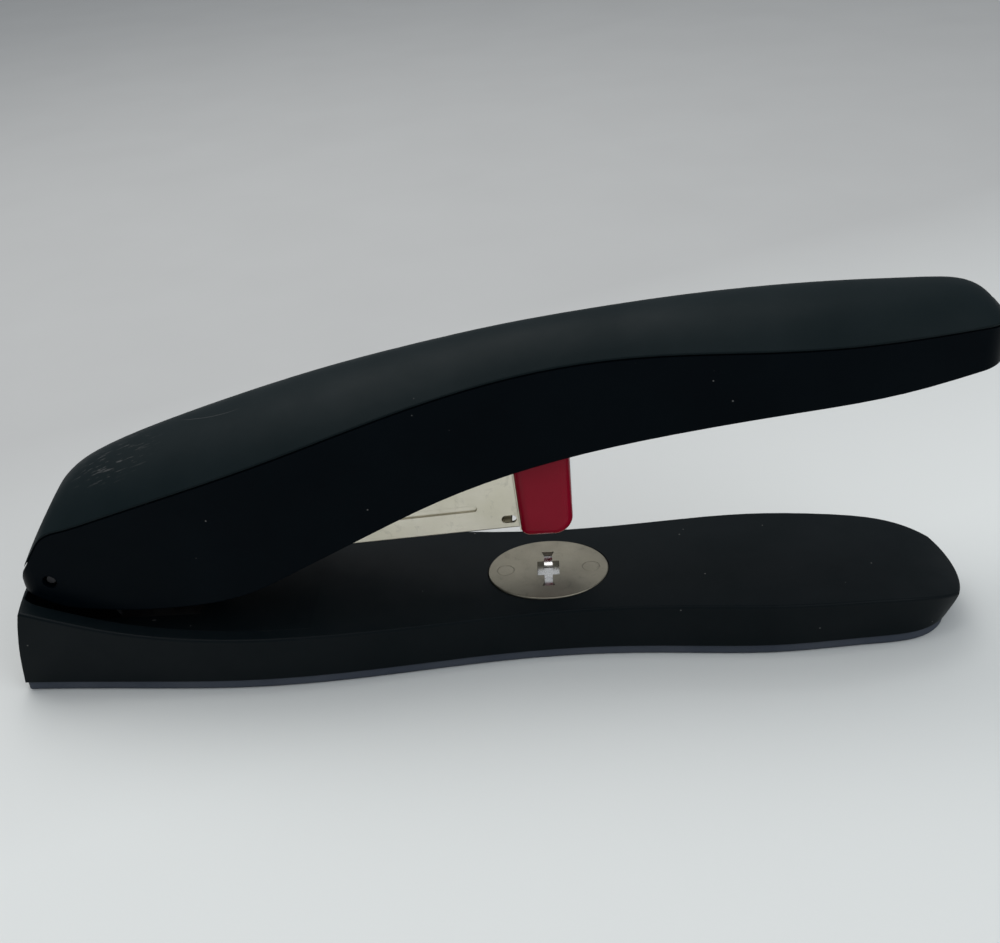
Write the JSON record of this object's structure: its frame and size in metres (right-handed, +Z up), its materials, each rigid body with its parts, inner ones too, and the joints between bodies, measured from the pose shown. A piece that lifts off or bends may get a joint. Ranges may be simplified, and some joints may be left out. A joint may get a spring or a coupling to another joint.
{
  "type": "stapler",
  "caption": "Long-lever desktop stapler: curved handle and sprung magazine hinged at the rear of a waisted base with an oval anvil, shown raised.",
  "frame": {"origin": "on the table, directly below the hinge pin's axis, midway across the base", "axes": "+X from the hinge to the grip, along the stapler; +Y across it; +Z up"},
  "size_m": [0.2405, 0.0486, 0.0882],
  "materials": {
    "base_black": "satin, finely textured",
    "side_black": "semi-gloss moulded",
    "cover_black": "soft-touch satin",
    "rubber": "matt",
    "red_plastic": "glossy moulded",
    "pusher_black": "moulded",
    "nickel": "nickel plated",
    "anvil_steel": "satin plated",
    "bright_steel": "bright",
    "spring_steel": "spring tempered",
    "staple_wire": "galvanised wire",
    "zinc_sheet": "zinc plated sheet",
    "black_steel": "black zinc"
  },
  "bodies": {
    "base": {"base_shell": "base_black", "base_plate": "zinc_sheet", "sole_pad": "rubber", "base_screws": "black_steel", "base_chassis": "zinc_sheet", "hinge_bracket": "black_steel", "bracket_rivets": "bright_steel", "lift_spring": "spring_steel", "hinge_pin": "black_steel", "pin_clips": "spring_steel", "anvil_plate": "anvil_steel", "clinch_block": "bright_steel", "anvil_rivets": "anvil_steel"},
    "magazine": {"magazine_channel": "nickel", "staple_rail": "nickel", "rail_blocks": "zinc_sheet", "rail_rivets": "bright_steel", "guide_rod": "bright_steel", "staple_strip": "staple_wire", "pusher_spring": "spring_steel", "front_plate": "nickel", "nose_cover": "red_plastic"},
    "pusher": {"pusher": "pusher_black"},
    "handle": {"handle_body": "side_black", "handle_cover": "cover_black", "grip_underside": "side_black", "grip_screws": "black_steel", "handle_frame": "zinc_sheet", "handle_screws": "black_steel", "driver_blade": "spring_steel", "press_spring": "spring_steel", "frame_rivets": "bright_steel"}
  },
  "joints": [
    {"name": "magazine_swing", "type": "hinge", "parent": "base", "child": "magazine", "pos_m": [0, 0, 0.0305], "axis": [0, 1, 0], "range_deg": [0, 6.9], "stiffness_Nm_per_rad": 1, "springref_deg": -22.92, "deforming": ["lift_spring"]},
    {"name": "handle_swing", "type": "hinge", "parent": "magazine", "child": "handle", "pos_m": [0, 0, 0.0305], "axis": [0, 1, 0], "range_deg": [-85, 5.5], "stiffness_Nm_per_rad": 0.5, "springref_deg": -7.45, "deforming": ["press_spring"]},
    {"name": "pusher_slide", "type": "slide", "parent": "magazine", "child": "pusher", "axis": [0.9982, 0, 0.0593], "range_m": [-0.026, 0], "stiffness_N_per_m": 30, "springref_m": 0.05, "deforming": ["pusher_spring"]}
  ]
}
